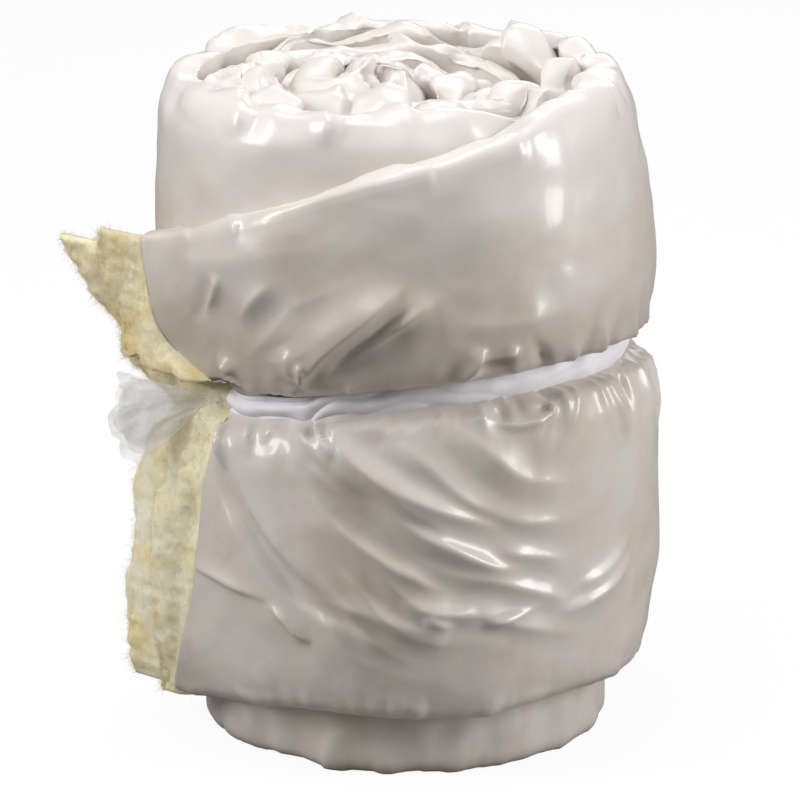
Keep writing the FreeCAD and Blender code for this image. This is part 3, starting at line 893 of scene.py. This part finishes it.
def wool_material():
    """Pale yellow glass wool, yellower above the tie."""
    n = Nodes("glass_wool")
    colour = n.ramp(
        n.noise(26, 3, 0.5, 0.4),
        [
            (0.28, srgb(249, 229, 172)),
            (0.44, srgb(253, 240, 200)),
            (0.58, srgb(255, 247, 219)),
            (0.74, srgb(255, 248, 224)),
        ],
    )
    colour = n.mix(n.climb(200, 260, 0.3), colour, srgb(243, 222, 156))
    n.set(Base_Color=colour, Roughness=0.95, Specular_IOR_Level=0.15, Sheen_Weight=0.3)
    n.set(Subsurface_Weight=0.3, Subsurface_Scale=0.006, Subsurface_Radius=(1.0, 0.9, 0.5))
    fibre = n.noise(2.2, 6, 0.75, 2.5, stretch=(1, 1, 0.35))
    n.bump([(n.noise(9, 4, 0.6), 1.8, 0.7), (fibre, 1.0, 0.9)])
    return n.material


def strap_material():
    """White strap with a fine weave."""
    n = Nodes("woven_strap")
    uv = n.add("ShaderNodeTexCoord").outputs["UV"]
    threads = []
    for direction in ("X", "Y"):
        inputs = {"Vector": uv, "Scale": 0.36, "Distortion": 0.0}
        wave = n.add("ShaderNodeTexWave", inputs, bands_direction=direction, wave_profile="SIN")
        threads.append(wave.outputs["Fac"])
    weave = n.calc("MINIMUM", *threads)
    tint = n.ramp(n.noise(18, 3), [(0.3, srgb(236, 234, 238)), (0.7, srgb(246, 245, 248))])
    dark = n.ramp(weave, [(0.0, srgb(232, 231, 237)), (0.4, srgb(255, 255, 255))])
    n.set(Base_Color=n.mix(0.8, tint, dark, "MULTIPLY"), Roughness=0.5, Specular_IOR_Level=0.4)
    n.bump([(weave, 0.15, 0.4)])
    return n.material


def tail_material():
    """Thin see-through film, crushed until it is cloudy."""
    n = Nodes("crushed_film")
    cloud = n.noise(9, 5, 0.65, 0.6)
    n.set(Base_Color=n.ramp(cloud, [(0.3, srgb(232, 230, 226)), (0.7, srgb(250, 249, 247))]))
    n.set(Roughness=n.grey(cloud, 0.3, 0.5), Alpha=n.grey(cloud, 0.27, 0.4), Coat_Weight=0.1)
    n.bump([(n.noise(9, 3, 0.5, 0.6), 0.5, 0.3)])
    return n.material


def floor_material():
    """White to the camera, and grey to the light that it throws back. The object's shadow shows on it."""
    n = Nodes("floor")
    to_camera = n.add("ShaderNodeLightPath").outputs["Is Camera Ray"]
    tone = n.mix(to_camera, srgb(140, 138, 136), srgb(250, 250, 250))
    n.set(Base_Color=tone, Roughness=0.9, Specular_IOR_Level=0.1)
    glow = n.calc("MULTIPLY", to_camera, 0.93)
    white = n.add("ShaderNodeEmission", {"Color": (1, 1, 1, 1), "Strength": 1.0}).outputs[0]
    mix = n.add("ShaderNodeMixShader", {0: glow, 1: n.shader.outputs[0], 2: white})
    n.feed(n.tree.nodes["Material Output"].inputs["Surface"], mix.outputs[0])
    return n.material


# ---- the scene ----


def finish_piece(piece, node):
    """Puts a piece on the frame: it stands for a CAD node, whose own part is hidden."""
    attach(piece, "root")
    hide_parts(node)


def make_sleeve():
    """All the pieces of the sleeve, on the frame."""
    film = film_material()
    wool = wool_material()
    for make in (make_outer_turn, make_inner_turns, make_foot):
        finish_piece(make(film), "film_jacket")
    for number, layer in enumerate(WOOL_TIPS):
        piece = make_blanket_layer("wool_" + layer, wool, layer, 100 + 10 * number)
        finish_piece(piece, "fiberglass_blanket")
    for piece in [make_strap(strap_material())] + make_tail(tail_material()):
        finish_piece(piece, "tie_strap")


# Each soft lamp: its place in metres, the share of the roll's height that it aims at, its width and
# height in metres, and its watts.
LAMPS = {
    "top": ((-0.2, 0.0, 1.9), 0.5, (1.3, 0.9), 16),
    "left": ((-1.9, -0.6, 1.3), 0.5, (0.5, 1.3), 28),
    "right": ((2.0, -0.6, 0.9), 0.5, (0.6, 1.4), 34),
    "above": ((-0.5, -1.0, 1.3), 1.0, (0.7, 0.4), 2.8),
    "back": ((0.5, 1.9, 1.3), 0.5, (1.4, 1.0), 9),
}


def make_lamps():
    """Soft studio light from above and from all sides."""
    for name, (place, aim, size, watts) in LAMPS.items():
        light = bpy.data.lights.new(name, "AREA")
        light.shape = "RECTANGLE"
        light.size, light.size_y = size
        light.energy = watts
        lamp = bpy.data.objects.new(name, light)
        lamp.location = place
        way = Vector((0, 0, HEIGHT * MM * aim)) - Vector(place)
        lamp.rotation_euler = way.to_track_quat("-Z", "Y").to_euler()
        bpy.context.scene.collection.objects.link(lamp)


def make_floor():
    """A plain floor, wide enough that its edge isn't seen."""
    half = 14
    corners = [(-half, -half, 0), (half, -half, 0), (half, half, 0), (-half, half, 0)]
    mesh = bpy.data.meshes.new("floor")
    mesh.from_pydata(corners, [], [(0, 1, 2, 3)])
    mesh.materials.append(floor_material())
    floor = bpy.data.objects.new("floor", mesh)
    bpy.context.scene.collection.objects.link(floor)


def make_world():
    """A dim even light, which the camera sees as white."""
    world = bpy.data.worlds.new("studio")
    bpy.context.scene.world = world
    world.use_nodes = True
    tree = world.node_tree
    dim = tree.nodes["Background"]
    white = tree.nodes.new("ShaderNodeBackground")
    for background, strength in ((dim, 0.16), (white, 1.0)):
        background.inputs["Color"].default_value = (1, 1, 1, 1)
        background.inputs["Strength"].default_value = strength
    ray = tree.nodes.new("ShaderNodeLightPath")
    mix = tree.nodes.new("ShaderNodeMixShader")
    tree.links.new(ray.outputs["Is Camera Ray"], mix.inputs[0])
    tree.links.new(dim.outputs[0], mix.inputs[1])
    tree.links.new(white.outputs[0], mix.inputs[2])
    tree.links.new(mix.outputs[0], tree.nodes["World Output"].inputs["Surface"])


def make_camera():
    """A long lens, a little above the roll's middle."""
    distance = 4.6
    elevation = math.radians(16.7)
    target = Vector((-0.005, 0, 0.2055))
    back = Vector((0, -math.cos(elevation), math.sin(elevation)))
    data = bpy.data.cameras.new("camera")
    data.lens = 328
    data.sensor_width = 36
    data.clip_start = 0.1
    data.clip_end = 100
    camera = bpy.data.objects.new("camera", data)
    camera.location = target + back * distance
    camera.rotation_euler = (-back).to_track_quat("-Z", "Y").to_euler()
    bpy.context.scene.collection.objects.link(camera)
    bpy.context.scene.camera = camera


make_sleeve()
make_floor()
make_world()
make_lamps()
make_camera()
bpy.context.scene.view_settings.view_transform = "Standard"
